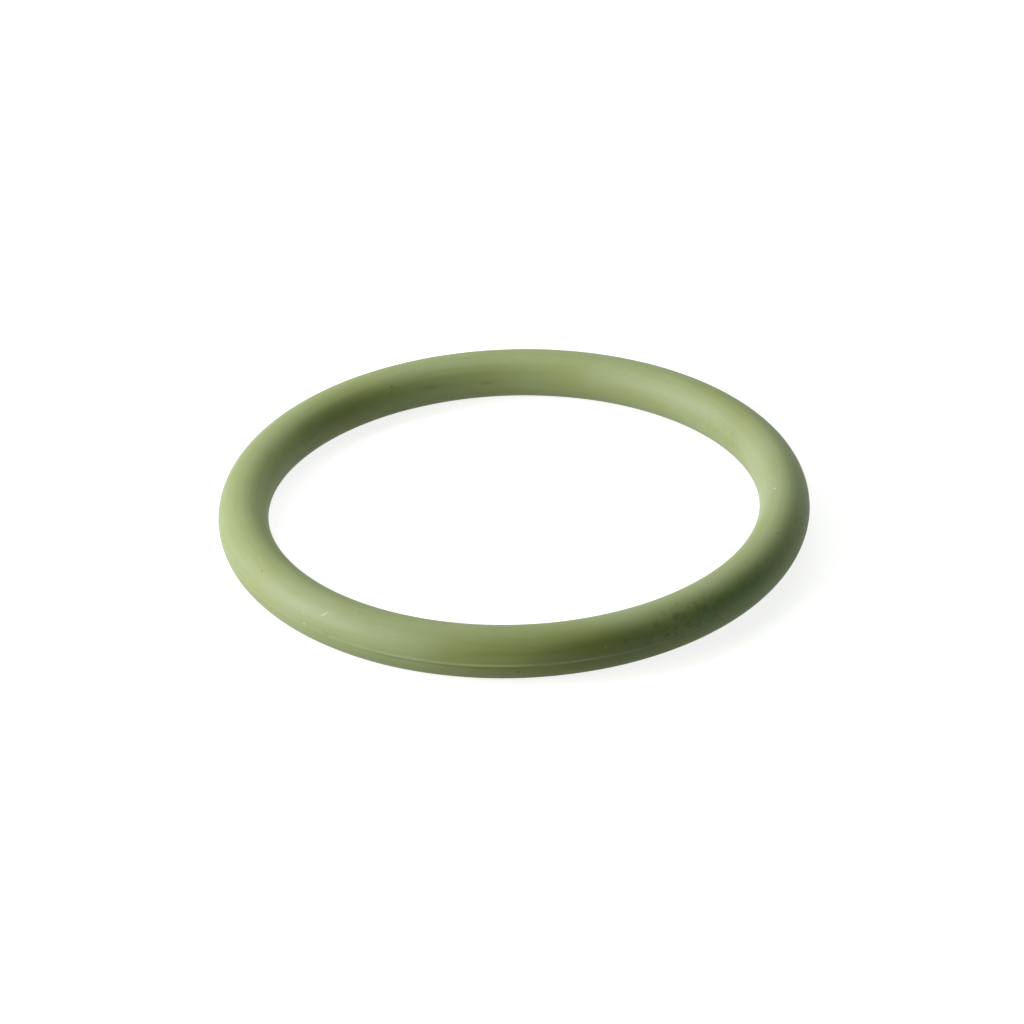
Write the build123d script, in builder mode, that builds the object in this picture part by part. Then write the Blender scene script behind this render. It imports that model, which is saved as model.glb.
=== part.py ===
from build123d import *
import os

# A rubber O-ring, compression moulded in one piece.
# The origin is the centre of the ring, on the plane where the two halves of its mould met, and +Z is its axis.
# The ring lies flat, so it rests on the lowest circle of its round section.

# Driving dimensions, in millimetres
inside_diameter = 34.52
section_diameter = 3.53
seam_width = 0.12  # trimmed edge of rubber left outside the ring where the mould halves met
seam_height = 0.04  # how far that edge stands proud of the round section

# Worked-out sizes
section_radius = section_diameter / 2
centre_line_radius = inside_diameter / 2 + section_radius
outside_radius = inside_diameter / 2 + section_diameter
seam_radius = outside_radius + seam_height

# The ring is its round section turned about the axis.
# The seam crosses the section at mid-height. Inside the ring it is trimmed flush with the rubber,
# and outside it leaves one fine ridge, whose flat top is a short cylinder.
with BuildPart() as o_ring:
    with BuildSketch(Plane.XZ) as section:
        with Locations((centre_line_radius, 0)):
            Circle(section_radius)
        with Locations((seam_radius, 0)):
            Rectangle(section_radius, seam_width, align=(Align.MAX, Align.CENTER))
    revolve(axis=Axis.Z)

o_ring.part.label = "o_ring"

os.makedirs("parts", exist_ok=True)
export_step(o_ring.part, "parts/o_ring.step")

print(f"o_ring: {2 * outside_radius:.2f} mm outside, {o_ring.part.volume:.0f} cubic mm of rubber")
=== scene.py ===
# %% [markdown]
# # A green rubber O-ring
# An O-ring is a seal: a ring of rubber with a round section, squeezed between a spigot and a housing.
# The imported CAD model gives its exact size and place. This lesson gives it a smooth skin, the seam that
# its mould left, and the satin look of green fluoroelastomer, and then lights it as a small studio set.

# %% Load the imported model
import math

import bmesh
import bpy
from mathutils import Matrix, Vector


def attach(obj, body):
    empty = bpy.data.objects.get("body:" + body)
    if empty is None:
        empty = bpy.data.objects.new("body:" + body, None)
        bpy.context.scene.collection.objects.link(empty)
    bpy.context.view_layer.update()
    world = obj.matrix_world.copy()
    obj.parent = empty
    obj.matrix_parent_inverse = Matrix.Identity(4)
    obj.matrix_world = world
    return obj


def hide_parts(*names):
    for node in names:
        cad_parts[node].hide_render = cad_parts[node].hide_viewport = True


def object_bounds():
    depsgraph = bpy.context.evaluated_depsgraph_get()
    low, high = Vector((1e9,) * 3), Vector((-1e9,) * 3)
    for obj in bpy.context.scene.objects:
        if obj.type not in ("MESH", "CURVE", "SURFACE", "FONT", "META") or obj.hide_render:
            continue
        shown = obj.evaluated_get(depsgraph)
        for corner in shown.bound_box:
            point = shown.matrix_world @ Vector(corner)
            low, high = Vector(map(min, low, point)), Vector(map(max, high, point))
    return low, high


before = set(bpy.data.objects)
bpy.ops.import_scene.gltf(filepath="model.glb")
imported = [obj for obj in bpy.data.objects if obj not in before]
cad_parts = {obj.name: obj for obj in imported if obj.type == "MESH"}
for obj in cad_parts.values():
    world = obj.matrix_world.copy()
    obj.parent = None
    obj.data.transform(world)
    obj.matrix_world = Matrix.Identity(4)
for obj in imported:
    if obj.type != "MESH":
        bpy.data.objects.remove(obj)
cad_low, cad_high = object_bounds()
MM = 0.001  # Blender works in metres here, and the ring is described in millimetres
print("CAD box in mm:", [round(c / MM, 3) for c in (*cad_low, *cad_high)])

# %% [markdown]
# ## Sizes
# Four sizes drive everything: the inside diameter, the section, and the width and height of the seam.
# They are the CAD model's own, so the skin made here fits the solid. The rest is worked out from them.

# %% Sizes of the ring
inside_diameter = 34.52 * MM
section_diameter = 3.53 * MM
seam_width = 0.12 * MM
seam_height = 0.04 * MM
section_radius = section_diameter / 2
centre_radius = inside_diameter / 2 + section_radius
print("outside radius over the seam in mm:", round((centre_radius + section_radius + seam_height) / MM, 3))

# %% [markdown]
# ## Two small helpers
# Node trees get long when every node takes four lines. One function adds a node, sets its properties, and
# fills its inputs, each with a number or with a link. Colours are picked on a screen as sRGB hex values,
# but Blender calculates with linear light, so one more function turns the first into the second.


# %% Helpers for nodes and colours
def add_node(tree, kind, inputs=None, **settings):
    """Adds a node with its settings. An input, by name or number, takes a value or another node's socket."""
    node = tree.nodes.new(kind)
    for name, value in settings.items():
        setattr(node, name, value)
    for key, value in (inputs or {}).items():
        if isinstance(value, bpy.types.NodeSocket):
            tree.links.new(value, node.inputs[key])
        else:
            node.inputs[key].default_value = value
    return node


def linear(hex_colour):
    """An sRGB hex colour as the linear red, green, blue and alpha that a colour socket takes."""
    parts = [int(hex_colour[i:i + 2], 16) / 255 for i in (1, 3, 5)]
    return [p / 12.92 if p <= 0.04045 else ((p + 0.055) / 1.055) ** 2.4 for p in parts] + [1.0]


print("a mid green in linear light:", [round(c, 3) for c in linear("#87915F")])

# %% [markdown]
# ## The rubber
# Green fluoroelastomer is moulded in a polished steel tool. It comes out satin: a soft, wide highlight over
# an olive green that looks deep in the shade. A photograph wrapped round the ring would give that look from
# one side only, so everything is drawn by nodes instead. They read the object's own coordinates, which keeps
# the pattern in place from every side, and each pattern is about as large as on the real ring.
# A moulded ring is patterned along its length, so three values describe a place on it: its height, its
# distance from the axis, and its direction from the axis.

# %% Coordinates that follow the ring
rubber = bpy.data.materials.new("green_fluoroelastomer_satin")
rubber.use_nodes = True
tree = rubber.node_tree
tree.nodes.clear()
place = add_node(tree, "ShaderNodeTexCoord").outputs["Object"]
height = add_node(tree, "ShaderNodeSeparateXYZ", {0: place}).outputs["Z"]
flat = add_node(tree, "ShaderNodeVectorMath", {0: place, 1: (1, 1, 0)}, operation="MULTIPLY").outputs[0]
reach = add_node(tree, "ShaderNodeVectorMath", {0: flat}, operation="LENGTH").outputs["Value"]
spoke = add_node(tree, "ShaderNodeVectorMath", {0: flat}, operation="NORMALIZE").outputs[0]
print("coordinate nodes:", len(tree.nodes))

# %% [markdown]
# ## Flow streaks
# The rubber flows round the mould before it sets, and that leaves fine streaks along the ring. Noise that is
# stretched along the ring draws them. Height and distance from the axis change it quickly, the direction
# slowly. That makes four numbers, so the noise is four-dimensional, and it closes on itself round the ring.

# %% Streaks along the ring
streak_length = 9.0 * MM
streak_width = 0.35 * MM
along = add_node(
    tree, "ShaderNodeVectorMath", {0: spoke, "Scale": centre_radius / streak_length}, operation="SCALE"
).outputs[0]
across = add_node(tree, "ShaderNodeMath", {0: reach, 1: 1 / streak_width}, operation="MULTIPLY").outputs[0]
upward = add_node(tree, "ShaderNodeMath", {0: height, 1: 1 / streak_width}, operation="MULTIPLY").outputs[0]
outer = add_node(tree, "ShaderNodeCombineXYZ", {2: across}).outputs[0]
streak_place = add_node(tree, "ShaderNodeVectorMath", {0: along, 1: outer}, operation="ADD").outputs[0]
streaks = add_node(
    tree,
    "ShaderNodeTexNoise",
    {"Vector": streak_place, "W": upward, "Scale": 1.0, "Detail": 2.0},
    noise_dimensions="4D",
).outputs["Fac"]
print("streaks of", streak_length / MM, "by", streak_width / MM, "mm")

# %% [markdown]
# ## Clouds of colour
# The pigment is not quite even. Slow clouds of noise and the streaks together lean the green towards a
# deeper, yellower one. A Color Ramp could hold both colours, but a Map Range and a Mix node show more
# plainly where the change begins and ends. Each noise is about one half, so the two add up to about 1.
# Sockets 6 and 7 of a Mix node are its two colours, and output 2 is their mix.

# %% Clouds of colour
rubber_green = "#93A16B"
rubber_deep = "#8F9858"
cloud_size = 6.0 * MM
clouds = add_node(
    tree, "ShaderNodeTexNoise", {"Vector": place, "Scale": 1 / cloud_size, "Detail": 3.0, "Roughness": 0.55}
).outputs["Fac"]
shade = add_node(tree, "ShaderNodeMath", {0: clouds, 1: streaks}, operation="ADD").outputs[0]
share = add_node(
    tree,
    "ShaderNodeMapRange",
    {"Value": shade, "From Min": 0.7, "From Max": 1.3, "To Min": 0.0, "To Max": 1.0},
).outputs[0]
green = add_node(
    tree,
    "ShaderNodeMix",
    {"Factor": share, 6: linear(rubber_deep), 7: linear(rubber_green)},
    data_type="RGBA",
).outputs[2]
print("clouds of", cloud_size / MM, "mm")

# %% [markdown]
# ## Bloom
# Wax from the rubber comes to the surface as a thin dull film, which is called bloom. Patches of a smaller
# noise mix a little grey into the green. The same noise makes the gloss duller there, further on.

# %% Bloom on the skin
bloom_grey = "#A9B08E"
bloom_size = 2.2 * MM
most_bloom = 0.16
bloom_noise = add_node(
    tree, "ShaderNodeTexNoise", {"Vector": place, "Scale": 1 / bloom_size, "Detail": 5.0, "Roughness": 0.6}
).outputs["Fac"]
bloom = add_node(
    tree,
    "ShaderNodeMapRange",
    {"Value": bloom_noise, "From Min": 0.45, "From Max": 0.75, "To Min": 0.0, "To Max": most_bloom},
    interpolation_type="SMOOTHSTEP",
).outputs[0]
dulled = add_node(
    tree, "ShaderNodeMix", {"Factor": bloom, 6: green, 7: linear(bloom_grey)}, data_type="RGBA"
).outputs[2]
print("bloom patches of", bloom_size / MM, "mm")

# %% [markdown]
# ## Dust, smudges, painted sheen and painted shade
# The ring has been handled. It carries specks of pale dust, a scratch and small dark smudges, thickest at the
# front right. A large pale patch inside on the right is painted sheen over the highlight there, and three
# long soft dark marks, two at the front right and one inside at the back left, are painted shade. Those that
# the photograph shows are listed, by the angle round the ring and the angle round the section, where 0 is the
# outside and 90 the top. Round the ring 0 is to the right, 90 behind and 270 in front. Painting them on a
# texture would need a UV map and an image, and a short list says the same.

# %% Marks that the photograph shows
# ring angle, section angle, length in mm, width in mm, turn from the ring's direction, strength
dust_and_sheen_marks = [
    (231, 45, 0.85, 0.16, 38, 0.32),
    (227, 6, 0.22, 0.18, 0, 0.35),
    (226, -6, 0.20, 0.14, 0, 0.30),
    (208, 69, 0.70, 0.08, -5, 0.15),
    (354, 113, 0.22, 0.18, 60, 0.75),
    (337, 74, 0.65, 0.12, -37, 0.40),
    (286, 24, 0.16, 0.14, 0, 0.30),
    # a large pale patch inside on the right: painted sheen over the highlight there
    (0, 162, 17.0, 3.60, 0, 0.10),
]
smudge_and_shade_marks = [
    (211.5, 54, 0.26, 0.16, 90, 0.60),
    (223, 59, 0.20, 0.16, 0, 0.25),
    (235, 24, 0.26, 0.14, 0, 0.25),
    (238, 74, 0.26, 0.14, 90, 0.35),
    (228, 4, 0.16, 0.12, 0, 0.35),
    (336, 71, 0.30, 0.16, -37, 0.35),
    (344, 45, 0.18, 0.16, 0, 0.50),
    (270, -15, 0.30, 0.16, 0, 0.50),
    (270, -22, 0.45, 0.10, 90, 0.30),
    # two long soft dark marks at the front right: painted shade on the shaded side
    (282, 15, 9.00, 2.30, 0, 0.28),
    (289, 16, 8.00, 2.80, 0, 0.26),
    (290, 28, 0.55, 0.35, 10, 0.40),
    (292, 39, 0.45, 0.35, 0, 0.36),
    (294.5, 11, 0.85, 0.22, 36, 0.42),
    (298, 14, 0.60, 0.32, 20, 0.45),
    (301, 45, 0.80, 0.40, 40, 0.35),
    (52, 106, 0.45, 0.10, 0, 0.35),
    (96, 175, 1.20, 0.35, 0, 0.25),
    (110, 165, 1.40, 0.40, 0, 0.20),
    (120, 141, 0.40, 0.34, 0, 0.35),
    # a long soft dark mark inside at the back left: painted shade
    (140, 152, 9.00, 2.40, 0, 0.16),
]
print("marks:", len(dust_and_sheen_marks), "pale and", len(smudge_and_shade_marks), "dark")

# %% [markdown]
# ## Drawing a mark
# A Mapping node gives each mark its own small space, in which the mark is a ball of radius 1, so its length,
# width and turn are plain numbers. The distance from the middle of that ball fades the mark out, and the
# strongest mark at a place wins.


# %% A function that draws marks
mark_full_to = 0.4  # a mark has its full strength up to here, as a share of its radius
mark_gone_at = 1.2


def draw_marks(tree, place, marks):
    """The strongest of many marks at a place. Each is a soft oval with its own direction on the skin."""
    strongest = None
    for ring_angle, section_angle, length, width, turn, strength in marks:
        a, b, c = (math.radians(angle) for angle in (ring_angle, section_angle, turn))
        ring_way = Vector((-math.sin(a), math.cos(a), 0))
        outwards = Vector((math.cos(a), math.sin(a), 0))
        normal = outwards * math.cos(b) + Vector((0, 0, math.sin(b)))
        stroke = ring_way * math.cos(c) + normal.cross(ring_way) * math.sin(c)
        axes = Matrix((stroke, normal.cross(stroke), normal)).transposed()
        own_space = {
            "Vector": place,
            "Location": outwards * centre_radius + normal * section_radius,
            "Rotation": axes.to_euler(),
            "Scale": (length / 2 * MM, width / 2 * MM, width / 2 * MM),
        }
        local = add_node(tree, "ShaderNodeMapping", own_space, vector_type="TEXTURE").outputs[0]
        away = add_node(tree, "ShaderNodeVectorMath", {0: local}, operation="LENGTH").outputs["Value"]
        fade = {
            "Value": away,
            "From Min": mark_full_to,
            "From Max": mark_gone_at,
            "To Min": strength,
            "To Max": 0.0,
        }
        mark = add_node(tree, "ShaderNodeMapRange", fade, interpolation_type="SMOOTHSTEP").outputs[0]
        pair = {0: strongest or 0.0, 1: mark}
        strongest = add_node(tree, "ShaderNodeMath", pair, operation="MAXIMUM").outputs[0]
    return strongest


print("a mark takes 4 nodes")

# %% [markdown]
# ## Ragged edges
# Real dust and dirt have no smooth outline. A fine noise pushes the place about by a fraction of a millimetre
# before the marks are drawn there, which tears their edges.

# %% Dust, smudges, painted sheen and painted shade, with ragged edges
mark_ripple = 0.25 * MM
wobble = add_node(tree, "ShaderNodeTexNoise", {"Vector": place, "Scale": 1 / mark_ripple}).outputs["Color"]
centred = add_node(
    tree, "ShaderNodeVectorMath", {0: wobble, 1: (0.5, 0.5, 0.5)}, operation="SUBTRACT"
).outputs[0]
push = add_node(
    tree, "ShaderNodeVectorMath", {0: centred, "Scale": mark_ripple}, operation="SCALE"
).outputs[0]
ragged = add_node(tree, "ShaderNodeVectorMath", {0: place, 1: push}, operation="ADD").outputs[0]
dust_and_sheen = draw_marks(tree, ragged, dust_and_sheen_marks)
smudges_and_shade = draw_marks(tree, ragged, smudge_and_shade_marks)
print("nodes with the marks:", len(tree.nodes))

# %% [markdown]
# ## Painted olive shade
# At the front and inside at the back left, where the ring lies in shade, the rubber is painted a deeper olive
# than elsewhere. Two large soft marks draw that painted shade, and the flow streaks break them up, because
# the tone follows them.

# %% Olive painted shade
# the two shaded areas, painted a deeper olive
olive_shade_marks = [
    (273, 29, 17.0, 5.0, 0, 0.50),
    (138, 150, 12.0, 4.0, 0, 0.40),
]
olive_shade = draw_marks(tree, ragged, olive_shade_marks)
streaky = add_node(
    tree,
    "ShaderNodeMapRange",
    {"Value": streaks, "From Min": 0.3, "From Max": 0.7, "To Min": 0.4, "To Max": 1.6},
).outputs[0]
streaked_olive_shade = add_node(tree, "ShaderNodeMath", {0: olive_shade, 1: streaky}, operation="MULTIPLY").outputs[0]
print("stains:", len(olive_shade_marks))

# %% [markdown]
# ## Grime
# Some areas are speckled all over with fine dirt, most of all the front right. Placing each speck would take
# hundreds of marks. A noise draws the dirt everywhere instead, and a few large marks say where it shows.

# %% Grime in the dirty areas
grime_areas = [
    (303, 30, 9.0, 3.4, 0, 1.0),
    (232, 4, 2.6, 1.2, 0, 0.9),
    (347, 32, 5.0, 1.8, 0, 0.8),
    (323, 34, 6.0, 2.2, 0, 0.6),
    (125, 150, 9.0, 2.6, 0, 0.3),
    (28, 165, 8.0, 1.8, 0, 0.4),
]
grime_size = 0.5 * MM
most_grime = 0.45
grime_noise = add_node(
    tree, "ShaderNodeTexNoise", {"Vector": place, "Scale": 1 / grime_size, "Detail": 4.0, "Roughness": 0.65}
).outputs["Fac"]
grime_spots = add_node(
    tree,
    "ShaderNodeMapRange",
    {"Value": grime_noise, "From Min": 0.45, "From Max": 0.75, "To Min": 0.0, "To Max": most_grime},
    interpolation_type="SMOOTHSTEP",
).outputs[0]
grimy = draw_marks(tree, place, grime_areas)
grime = add_node(tree, "ShaderNodeMath", {0: grime_spots, 1: grimy}, operation="MULTIPLY").outputs[0]
print("grime of", grime_size / MM, "mm in", len(grime_areas), "areas")

# %% [markdown]
# ## Where the seam shows
# The seam was trimmed least near the front, and elsewhere it hardly shows. The direction from the axis,
# compared with the front by a dot product, says how near a place is to it: 1 is right there, 0 a quarter
# turn away. A noise along the ring lets the seam come and go as well.

# %% Where the seam shows
seam_front = (0.10, -0.99, 0.0)  # the direction in which the seam was trimmed least, just right of the front
seam_fades_at = 0.80
seam_full_at = 0.97
seam_rest = 0.18  # what is left of the seam away from the front, as a share of its full size
seam_patch = 4.0 * MM
outside = add_node(tree, "ShaderNodeMath", {0: reach, 1: centre_radius}, operation="GREATER_THAN").outputs[0]
along_seam = add_node(
    tree, "ShaderNodeTexNoise", {"Vector": spoke, "Scale": centre_radius / seam_patch, "Detail": 3.0}
).outputs["Fac"]
seam_wear = add_node(
    tree,
    "ShaderNodeMapRange",
    {"Value": along_seam, "From Min": 0.35, "From Max": 0.60, "To Min": 0.3, "To Max": 1.0},
).outputs[0]
frontness = add_node(
    tree, "ShaderNodeVectorMath", {0: spoke, 1: seam_front}, operation="DOT_PRODUCT"
).outputs["Value"]
front_range = {
    "Value": frontness,
    "From Min": seam_fades_at,
    "From Max": seam_full_at,
    "To Min": seam_rest,
    "To Max": 1.0,
}
most_in_front = add_node(tree, "ShaderNodeMapRange", front_range).outputs[0]
worn = add_node(tree, "ShaderNodeMath", {0: most_in_front, 1: seam_wear}, operation="MULTIPLY").outputs[0]
seam_there = add_node(tree, "ShaderNodeMath", {0: outside, 1: worn}, operation="MULTIPLY").outputs[0]
print("seam patches of", seam_patch / MM, "mm")

# %% [markdown]
# ## Painted light and shade at the seam
# A pale line along the top of the seam's ridge is a painted highlight, and a dark line below it is painted
# shade under the ridge. The distance from a height just above or below the middle of the section draws each
# as a fine line.

# %% Painted highlight and shade at the seam
# height above the middle of the section, width, strength
# the pale line is a painted highlight on the ridge, the dark line painted shade below it
seam_highlight_and_shade_values = {"pale": (0.05 * MM, 0.16 * MM, 0.30), "dark": (-0.13 * MM, 0.20 * MM, 0.40)}
seam_highlight_and_shade = {}
for name, (line_height, line_width, line_strength) in seam_highlight_and_shade_values.items():
    up = add_node(tree, "ShaderNodeMath", {0: height, 1: line_height}, operation="SUBTRACT").outputs[0]
    off = add_node(tree, "ShaderNodeMath", {0: up}, operation="ABSOLUTE").outputs[0]
    fade = {
        "Value": off,
        "From Min": 0.2 * line_width,
        "From Max": 0.6 * line_width,
        "To Min": line_strength,
        "To Max": 0.0,
    }
    line = add_node(tree, "ShaderNodeMapRange", fade, interpolation_type="SMOOTHSTEP").outputs[0]
    seam_highlight_and_shade[name] = add_node(
        tree, "ShaderNodeMath", {0: line, 1: seam_there}, operation="MULTIPLY"
    ).outputs[0]
print("lines at the seam:", list(seam_highlight_and_shade))

# %% [markdown]
# ## Loose specks
# The sides that the photograph does not show are as dusty as the rest, so a sparse scatter of specks goes
# all round. A Voronoi texture gives points at random places. Where the skin passes close to one there is a
# speck, and the point's own random colour decides whether it is pale, dark or left out.

# %% Specks all round the ring
speck_spacing = 1.0 * MM
speck_radius = 0.06 * MM
speck_edge = speck_radius / speck_spacing
speck_strength = 0.3
pale_above = 0.75  # of the points' random numbers, which run from 0 to 1
dark_below = 0.25
cells = add_node(tree, "ShaderNodeTexVoronoi", {"Vector": place, "Scale": 1 / speck_spacing}).outputs
fade = {
    "Value": cells["Distance"],
    "From Min": 0.3 * speck_edge,
    "From Max": speck_edge,
    "To Min": speck_strength,
    "To Max": 0.0,
}
speck = add_node(tree, "ShaderNodeMapRange", fade).outputs[0]
luck = add_node(tree, "ShaderNodeSeparateColor", {0: cells["Color"]}).outputs[0]
is_pale = add_node(tree, "ShaderNodeMath", {0: luck, 1: pale_above}, operation="GREATER_THAN").outputs[0]
is_dark = add_node(tree, "ShaderNodeMath", {0: luck, 1: dark_below}, operation="LESS_THAN").outputs[0]
pale_speck = add_node(tree, "ShaderNodeMath", {0: speck, 1: is_pale}, operation="MULTIPLY").outputs[0]
dark_speck = add_node(tree, "ShaderNodeMath", {0: speck, 1: is_dark}, operation="MULTIPLY").outputs[0]
print("specks of", 2 * speck_radius / MM, "mm, one per", speck_spacing / MM, "mm cell, half of them left out")

# %% [markdown]
# ## Colour of the dirt and the painted light
# All pale marks together and all dark ones together each need only one Mix node. The olive painted shade goes
# on first, then the dark dirt with the painted shade, and the pale dust with the painted highlight and sheen
# lies on top.

# %% Colour of the dirt, the painted shade and the painted highlight
painted_shade_olive = "#82893A"
dark_of_dirt_and_shade = "#3C4424"
pale_of_dust_and_highlight = "#DDE2C4"
all_dust_and_highlight = dust_and_sheen
for extra in (pale_speck, seam_highlight_and_shade["pale"]):
    all_dust_and_highlight = add_node(tree, "ShaderNodeMath", {0: all_dust_and_highlight, 1: extra}, operation="MAXIMUM").outputs[0]
all_smudges_and_shade = smudges_and_shade
for extra in (dark_speck, seam_highlight_and_shade["dark"], grime):
    all_smudges_and_shade = add_node(
        tree, "ShaderNodeMath", {0: all_smudges_and_shade, 1: extra}, operation="MAXIMUM"
    ).outputs[0]
# dirt, painted shade and painted highlight and sheen go onto the rubber's colour here
dirt_and_painted_light = dulled
for amount, colour in ((streaked_olive_shade, painted_shade_olive), (all_smudges_and_shade, dark_of_dirt_and_shade), (all_dust_and_highlight, pale_of_dust_and_highlight)):
    dirt_and_painted_light = add_node(
        tree, "ShaderNodeMix", {"Factor": amount, 6: dirt_and_painted_light, 7: linear(colour)}, data_type="RGBA"
    ).outputs[2]
print("nodes with the dirt:", len(tree.nodes))

# %% [markdown]
# ## Finish
# The gloss of moulded rubber is wide and weak. A roughness a little over one half gives that, duller where
# there is bloom. The index of refraction is set higher than rubber's own 1.4, because the ring in the
# photograph shows more gloss than that would give. A fine bump stands for the grain of the steel.

# %% Finish of the rubber
grain_size = 0.16 * MM  # the real grain is about 0.03 mm, drawn coarser here so that it shows
grain_depth = 0.0020 * MM
glossiest = 0.53
dullest = 0.65
refraction = 1.52
grain = add_node(
    tree, "ShaderNodeTexNoise", {"Vector": place, "Scale": 1 / grain_size, "Detail": 2.0}
).outputs["Fac"]
bump = add_node(
    tree, "ShaderNodeBump", {"Height": grain, "Strength": 1.0, "Distance": grain_depth}
).outputs[0]
gloss_noise = add_node(tree, "ShaderNodeMath", {0: bloom_noise, 1: streaks}, operation="ADD").outputs[0]
roughness = add_node(
    tree,
    "ShaderNodeMapRange",
    {"Value": gloss_noise, "From Min": 0.6, "From Max": 1.4, "To Min": glossiest, "To Max": dullest},
).outputs[0]
satin = add_node(
    tree,
    "ShaderNodeBsdfPrincipled",
    {"Base Color": dirt_and_painted_light, "Roughness": roughness, "IOR": refraction, "Normal": bump},
)
add_node(tree, "ShaderNodeOutputMaterial", {"Surface": satin.outputs[0]})
print("rubber material with", len(tree.nodes), "nodes")

# %% [markdown]
# ## The ring
# The ring follows a rule: a round section swept round a circle. A torus from the Add menu would do for the
# round, but not for the seam, so Geometry Nodes say the rule directly, with the sizes as named inputs.

# %% Inputs of the ring's rule
ring_rule = bpy.data.node_groups.new("o_ring_rule", "GeometryNodeTree")
ring_inputs = {
    "Centre radius": centre_radius,
    "Section radius": section_radius,
    "Seam height": seam_height,
    "Seam top": seam_width / 2,
    "Seam foot": 0.16 * MM,
    "Seam unevenness": 1.6 * MM,
    "Seam rest": seam_rest,
    "Sink depth": 0.02 * MM,
    "Sink size": 5.0 * MM,
    "Crowding": 0.82,
}
ring_counts = {"Steps round the ring": 640, "Steps round the section": 140}
for name in ring_inputs:
    ring_rule.interface.new_socket(name, in_out="INPUT", socket_type="NodeSocketFloat")
for name in ring_counts:
    ring_rule.interface.new_socket(name, in_out="INPUT", socket_type="NodeSocketInt")
ring_rule.interface.new_socket("Rubber", in_out="INPUT", socket_type="NodeSocketMaterial")
ring_rule.interface.new_socket("Geometry", in_out="OUTPUT", socket_type="NodeSocketGeometry")
given = add_node(ring_rule, "NodeGroupInput").outputs
print("inputs of the rule:", [item.name for item in ring_rule.interface.items_tree])

# %% [markdown]
# ## The section
# The seam's ridge is 0.12 mm wide on a section of 3.53 mm, so evenly spread points would need hundreds to
# show it. Here the points are crowded towards the seam: the turn round the section minus a part of its sine
# moves slowly near zero, which is the outside of the ring, and quickly elsewhere.

# %% The round section, crowded at the seam
section_start = add_node(
    ring_rule, "GeometryNodeCurvePrimitiveCircle", {"Resolution": given["Steps round the section"]}
).outputs[0]
factor = add_node(ring_rule, "GeometryNodeSplineParameter").outputs["Factor"]
turn = add_node(ring_rule, "ShaderNodeMath", {0: factor, 1: 2 * math.pi}, operation="MULTIPLY").outputs[0]
turn_sine = add_node(ring_rule, "ShaderNodeMath", {0: turn}, operation="SINE").outputs[0]
crowd = add_node(
    ring_rule, "ShaderNodeMath", {0: turn_sine, 1: given["Crowding"]}, operation="MULTIPLY"
).outputs[0]
angle = add_node(ring_rule, "ShaderNodeMath", {0: turn, 1: crowd}, operation="SUBTRACT").outputs[0]
cosine = add_node(ring_rule, "ShaderNodeMath", {0: angle}, operation="COSINE").outputs[0]
sine = add_node(ring_rule, "ShaderNodeMath", {0: angle}, operation="SINE").outputs[0]
unit = add_node(ring_rule, "ShaderNodeCombineXYZ", {0: cosine, 1: sine}).outputs[0]
section_point = add_node(
    ring_rule, "ShaderNodeVectorMath", {0: unit, "Scale": given["Section radius"]}, operation="SCALE"
).outputs[0]
section = add_node(
    ring_rule, "GeometryNodeSetPosition", {0: section_start, "Position": section_point}
).outputs[0]
print("section with", ring_counts["Steps round the section"], "points")

# %% [markdown]
# ## The sweep
# Curve to Mesh carries the section round the circle, as the groove of the mould does. The circle's normals
# are set upright first, so that the section's own X axis points away from the ring's axis all the way round.

# %% The sweep round the circle
circle = add_node(
    ring_rule,
    "GeometryNodeCurvePrimitiveCircle",
    {"Resolution": given["Steps round the ring"], "Radius": given["Centre radius"]},
).outputs[0]
upright = add_node(ring_rule, "GeometryNodeSetCurveNormal", {0: circle}, mode="Z_UP").outputs[0]
swept = add_node(
    ring_rule, "GeometryNodeCurveToMesh", {"Curve": upright, "Profile Curve": section}
).outputs[0]
print("sweep of", ring_counts["Steps round the ring"], "steps")

# %% [markdown]
# ## Out of the section
# The seam and the waves of the skin are small moves straight out of the round section. For every point that
# direction runs from the nearest place on the circle to the point, and the angle round the section follows.

# %% The direction out of the section, for every point
point = add_node(ring_rule, "GeometryNodeInputPosition").outputs[0]
point_height = add_node(ring_rule, "ShaderNodeSeparateXYZ", {0: point}).outputs["Z"]
level = add_node(
    ring_rule, "ShaderNodeVectorMath", {0: point, 1: (1, 1, 0)}, operation="MULTIPLY"
).outputs[0]
level_reach = add_node(ring_rule, "ShaderNodeVectorMath", {0: level}, operation="LENGTH").outputs["Value"]
level_spoke = add_node(ring_rule, "ShaderNodeVectorMath", {0: level}, operation="NORMALIZE").outputs[0]
centre = add_node(
    ring_rule, "ShaderNodeVectorMath", {0: level_spoke, "Scale": given["Centre radius"]}, operation="SCALE"
).outputs[0]
from_centre = add_node(
    ring_rule, "ShaderNodeVectorMath", {0: point, 1: centre}, operation="SUBTRACT"
).outputs[0]
outward = add_node(ring_rule, "ShaderNodeVectorMath", {0: from_centre}, operation="NORMALIZE").outputs[0]
beyond = add_node(
    ring_rule, "ShaderNodeMath", {0: level_reach, 1: given["Centre radius"]}, operation="SUBTRACT"
).outputs[0]
section_angle = add_node(
    ring_rule, "ShaderNodeMath", {0: point_height, 1: beyond}, operation="ARCTAN2"
).outputs[0]
print("nodes so far:", len(ring_rule.nodes))

# %% [markdown]
# ## The seam
# The two halves of the mould meet at mid-height, and a little rubber squeezes out between them. It is trimmed
# off, which leaves a fine ridge. Its height falls away from its flat top to its foot.

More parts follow.
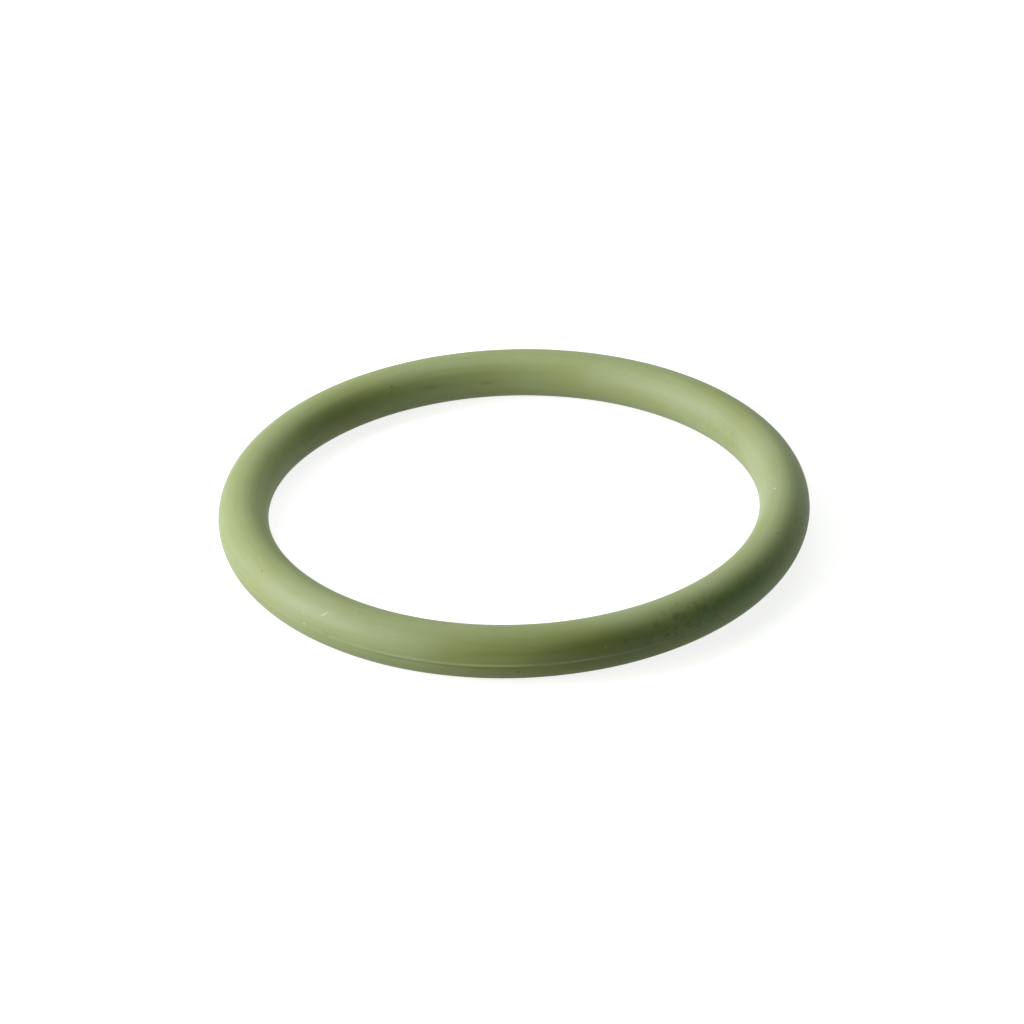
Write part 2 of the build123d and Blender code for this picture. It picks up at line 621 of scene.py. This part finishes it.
# %% The ridge of the seam
off_seam = add_node(ring_rule, "ShaderNodeMath", {0: section_angle}, operation="ABSOLUTE").outputs[0]
seam_distance = add_node(
    ring_rule, "ShaderNodeMath", {0: off_seam, 1: given["Section radius"]}, operation="MULTIPLY"
).outputs[0]
ridge_shape = {
    "Value": seam_distance,
    "From Min": given["Seam top"],
    "From Max": given["Seam foot"],
    "To Min": given["Seam height"],
    "To Max": 0.0,
}
ridge = add_node(
    ring_rule, "ShaderNodeMapRange", ridge_shape, interpolation_type="SMOOTHSTEP"
).outputs[0]
print("seam of", seam_width / MM, "by", seam_height / MM, "mm")

# %% [markdown]
# ## The trim of the seam
# The ridge is as high as it should be near the front, and cut closer elsewhere, as in the rubber's own lines.
# Noise along the ring lowers it here and there too, because a trimming blade does not run quite true.

# %% The trim of the seam
facing_front = add_node(
    ring_rule, "ShaderNodeVectorMath", {0: level_spoke, 1: seam_front}, operation="DOT_PRODUCT"
).outputs["Value"]
trim_range = {
    "Value": facing_front,
    "From Min": seam_fades_at,
    "From Max": seam_full_at,
    "To Min": given["Seam rest"],
    "To Max": 1.0,
}
trim = add_node(ring_rule, "ShaderNodeMapRange", trim_range).outputs[0]
seam_scale = add_node(
    ring_rule, "ShaderNodeMath", {0: 1.0, 1: given["Seam unevenness"]}, operation="DIVIDE"
).outputs[0]
seam_noise = add_node(
    ring_rule, "ShaderNodeTexNoise", {"Vector": centre, "Scale": seam_scale, "Detail": 3.0}
).outputs["Fac"]
seam_share = add_node(
    ring_rule,
    "ShaderNodeMapRange",
    {"Value": seam_noise, "From Min": 0.3, "From Max": 0.6, "To Min": 0.25, "To Max": 1.0},
).outputs[0]
trimmed = add_node(ring_rule, "ShaderNodeMath", {0: ridge, 1: trim}, operation="MULTIPLY").outputs[0]
lift = add_node(ring_rule, "ShaderNodeMath", {0: trimmed, 1: seam_share}, operation="MULTIPLY").outputs[0]
print("away from the front the seam is", round(seam_rest * seam_height / MM, 4), "mm high")

# %% [markdown]
# ## The skin
# Rubber shrinks as it cools, and not quite evenly, so the skin has slow waves about a hundredth of a
# millimetre deep. They only ever sink, which keeps the ring inside its CAD size. Then the tree shades the
# ring smooth and coats it.

# %% Slow waves of the skin, and the end of the rule
sink_scale = add_node(
    ring_rule, "ShaderNodeMath", {0: 1.0, 1: given["Sink size"]}, operation="DIVIDE"
).outputs[0]
sink_noise = add_node(
    ring_rule, "ShaderNodeTexNoise", {"Vector": point, "Scale": sink_scale, "Detail": 1.0}
).outputs["Fac"]
sink = add_node(
    ring_rule, "ShaderNodeMath", {0: sink_noise, 1: given["Sink depth"]}, operation="MULTIPLY"
).outputs[0]
rise = add_node(ring_rule, "ShaderNodeMath", {0: lift, 1: sink}, operation="SUBTRACT").outputs[0]
offset = add_node(
    ring_rule, "ShaderNodeVectorMath", {0: outward, "Scale": rise}, operation="SCALE"
).outputs[0]
skin = add_node(ring_rule, "GeometryNodeSetPosition", {0: swept, "Offset": offset}).outputs[0]
smooth = add_node(ring_rule, "GeometryNodeSetShadeSmooth", {0: skin}).outputs[0]
real = add_node(ring_rule, "GeometryNodeRealizeInstances", {0: smooth}).outputs[0]
coated = add_node(ring_rule, "GeometryNodeSetMaterial", {0: real, "Material": given["Rubber"]}).outputs[0]
add_node(ring_rule, "NodeGroupOutput", {0: coated})
print("ring rule with", len(ring_rule.nodes), "nodes")

# %% [markdown]
# ## From rule to mesh
# The rule runs once, as a modifier with its inputs set, and the result is kept as a plain mesh. A live
# modifier would do for a picture, but here the mesh itself is kept.

# %% Make the ring
ring = bpy.data.objects.new("rubber_ring", bpy.data.meshes.new("rubber_ring"))
bpy.context.scene.collection.objects.link(ring)
modifier = ring.modifiers.new("o_ring_rule", "NODES")
modifier.node_group = ring_rule
values = {**ring_inputs, **ring_counts, "Rubber": rubber}
for item in ring_rule.interface.items_tree:
    if item.in_out == "INPUT":
        modifier[item.identifier] = values[item.name]
depsgraph = bpy.context.evaluated_depsgraph_get()
ring_mesh = bpy.data.meshes.new_from_object(ring.evaluated_get(depsgraph), depsgraph=depsgraph)
ring.modifiers.remove(modifier)
ring.data = ring_mesh
ring.data.name = "rubber_ring"
print("ring:", len(ring.data.polygons), "faces")

# %% [markdown]
# ## Check the ring and let it stand for the solid
# An open edge or a negative volume would show a fault in the rule. The ring lies where the CAD solid lies,
# so it stands in for it: it goes on the root body, and the solid is hidden.

# %% Check the ring and let it stand for the solid
checked = bmesh.new()
checked.from_mesh(ring.data)
open_edges = sum(not edge.is_manifold for edge in checked.edges)
volume = checked.calc_volume(signed=True) / MM**3
checked.free()
print("open edges:", open_edges, "and volume:", round(volume, 1), "cubic mm")

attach(ring, "root")
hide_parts("o_ring")

# %% [markdown]
# ## The floor
# The ring lies on a white sweep. A flat disc does for it, so large that its edge stays out of the picture.

# %% Floor
floor_radius = 6.0
floor_mesh = bpy.data.meshes.new("floor")
disc = bmesh.new()
bmesh.ops.create_circle(disc, cap_ends=True, segments=96, radius=floor_radius)
bmesh.ops.translate(disc, verts=disc.verts, vec=(0, 0, cad_low.z))
disc.to_mesh(floor_mesh)
disc.free()
floor = bpy.data.objects.new("floor", floor_mesh)
bpy.context.scene.collection.objects.link(floor)
print("floor at z", round(cad_low.z / MM, 3), "mm")

# %% [markdown]
# ## The floor's glow
# Paint alone would render grey where little light falls, and more light would bleach the ring, so the floor
# also glows. The glow grows away from the ring, which leaves a soft shadow beside it. It lights nothing: only
# rays from the camera see it, and those that gloss or a clear piece sends on. In front of the ring the gloss
# sees less of it, because the shaded rubber there keeps its full colour in the photograph.

# %% Where the floor glows
glow_near = 0.85
glow_far = 1.0
shadow_room = 0.03
white_from = 0.12
gloss_in_front = 0.4
gloss_least_at = -1.4 * centre_radius
gloss_full_from = -0.8 * centre_radius
paint = bpy.data.materials.new("white_sweep")
paint.use_nodes = True
tree = paint.node_tree
tree.nodes.clear()
floor_place = add_node(tree, "ShaderNodeTexCoord").outputs["Object"]
away = add_node(tree, "ShaderNodeVectorMath", {0: floor_place}, operation="LENGTH").outputs["Value"]
glow_range = {
    "Value": away,
    "From Min": centre_radius + shadow_room,
    "From Max": white_from,
    "To Min": glow_near,
    "To Max": glow_far,
}
glow = add_node(tree, "ShaderNodeMapRange", glow_range, interpolation_type="SMOOTHSTEP").outputs[0]
depth = add_node(tree, "ShaderNodeSeparateXYZ", {0: floor_place}).outputs["Y"]
gloss_range = {
    "Value": depth,
    "From Min": gloss_least_at,
    "From Max": gloss_full_from,
    "To Min": gloss_in_front,
    "To Max": 1.0,
}
gloss_share = add_node(tree, "ShaderNodeMapRange", gloss_range).outputs[0]
print("glow from", glow_near, "near the ring to", glow_far)

# %% [markdown]
# ## The floor's paint
# The Light Path node tells which kind of ray has arrived, and the glow is switched on for the kinds that may
# see it. A plain grey paint below it takes the light of the lamps and with it the ring's shadow.

# %% Paint of the floor
floor_grey = "#B0B0B0"
rays = add_node(tree, "ShaderNodeLightPath").outputs
glossy = add_node(
    tree, "ShaderNodeMath", {0: rays["Is Glossy Ray"], 1: gloss_share}, operation="MULTIPLY"
).outputs[0]
shown = rays["Is Camera Ray"]
for seen in (glossy, rays["Is Transmission Ray"]):
    shown = add_node(tree, "ShaderNodeMath", {0: shown, 1: seen}, operation="MAXIMUM").outputs[0]
strength = add_node(tree, "ShaderNodeMath", {0: glow, 1: shown}, operation="MULTIPLY").outputs[0]
lit = add_node(tree, "ShaderNodeBsdfDiffuse", {"Color": linear(floor_grey)}).outputs[0]
glowing = add_node(tree, "ShaderNodeEmission", {"Strength": strength}).outputs[0]
both = add_node(tree, "ShaderNodeAddShader", {0: lit, 1: glowing}).outputs[0]
add_node(tree, "ShaderNodeOutputMaterial", {"Surface": both})
floor.data.materials.append(paint)
print("floor paint with", len(tree.nodes), "nodes")

# %% [markdown]
# ## Light
# Two softboxes on the left do most of the work, a cool one at the side and a warm one nearer the front. They
# draw the long soft highlights and leave the right side in shade, which shows the round section. A small one
# high on the left lifts the top of the ring, another lifts its back, and a long low strip behind opens the
# shade there. Sun lamps would be simpler, but their edges are too hard for rubber.


# %% Lamps
def direction(azimuth, elevation):
    """A unit vector. Azimuth 0 is to the right, 90 is behind the ring and 180 is to the left."""
    a = math.radians(azimuth)
    e = math.radians(elevation)
    return Vector((math.cos(e) * math.cos(a), math.cos(e) * math.sin(a), math.sin(e)))


# azimuth, elevation, distance in metres, width and height in metres, watts, tint
lamps = {
    "softbox_left": (180, 28, 0.28, 0.17, 0.13, 0.83, "#CECAFF"),
    "softbox_front": (203, 25, 0.28, 0.17, 0.13, 0.54, "#FFFFE6"),
    "softbox_high": (140, 57, 0.115, 0.06, 0.05, 0.032, "#FFFFFF"),
    "softbox_back": (70, 55, 0.09, 0.05, 0.04, 0.019, "#FFFFFF"),
    "strip_behind": (62, 10, 0.40, 0.60, 0.12, 0.33, "#FFFFFF"),
}
for name, (azimuth, elevation, distance, width, tall, watts, tint) in lamps.items():
    light = bpy.data.lights.new(name, "AREA")
    light.shape = "RECTANGLE"
    light.size = width
    light.size_y = tall
    light.energy = watts
    light.color = linear(tint)[:3]
    lamp = bpy.data.objects.new(name, light)
    towards = direction(azimuth, elevation)
    lamp.location = towards * distance
    lamp.rotation_euler = towards.to_track_quat("Z", "Y").to_euler()
    lamp.visible_camera = False
    bpy.context.scene.collection.objects.link(lamp)
print("lamps:", list(lamps))

# %% [markdown]
# ## Room light
# A trace of light comes from the whole room. It is tinted green, because in the photograph the shaded rubber
# keeps its full colour and does not turn grey. The camera sees white instead of that room.

# %% Room light
room_tint = "#90FF30"
room_level = 0.055
world = bpy.data.worlds.new("studio")
world.use_nodes = True
bpy.context.scene.world = world
tree = world.node_tree
tree.nodes.clear()
rays = add_node(tree, "ShaderNodeLightPath").outputs
straight = add_node(
    tree, "ShaderNodeMath", {0: rays["Is Camera Ray"], 1: rays["Is Transmission Ray"]}, operation="MAXIMUM"
).outputs[0]
room = add_node(
    tree, "ShaderNodeBackground", {"Color": linear(room_tint), "Strength": room_level}
).outputs[0]
white = add_node(tree, "ShaderNodeBackground", {"Color": linear("#FFFFFF"), "Strength": 1.0}).outputs[0]
shown = add_node(tree, "ShaderNodeMixShader", {0: straight, 1: room, 2: white}).outputs[0]
add_node(tree, "ShaderNodeOutputWorld", {"Surface": shown})
print("room light at", room_level)

# %% [markdown]
# ## The camera
# The photograph was taken from about 31 degrees above the ring with a long lens, and the camera was turned
# a little, which lifts the right side of the ring. These values come from fitting a ring to its outlines.

# %% Camera
camera_elevation = 30.945
camera_distance = 11.95 * centre_radius
camera_turn = -1.729
camera_data = bpy.data.cameras.new("camera")
camera_data.sensor_width = 36.0
camera_data.lens = 113.4
camera_data.shift_x = -0.0017
camera_data.shift_y = -0.0099
camera = bpy.data.objects.new("camera", camera_data)
back = direction(270, camera_elevation)
camera.location = back * camera_distance
camera.rotation_euler = back.to_track_quat("Z", "Y").to_euler()
camera.rotation_euler.rotate_axis("Z", math.radians(camera_turn))
bpy.context.scene.collection.objects.link(camera)
bpy.context.scene.camera = camera
bpy.context.scene.view_settings.view_transform = "Standard"
print("camera at", [round(c, 4) for c in camera.location], "m")
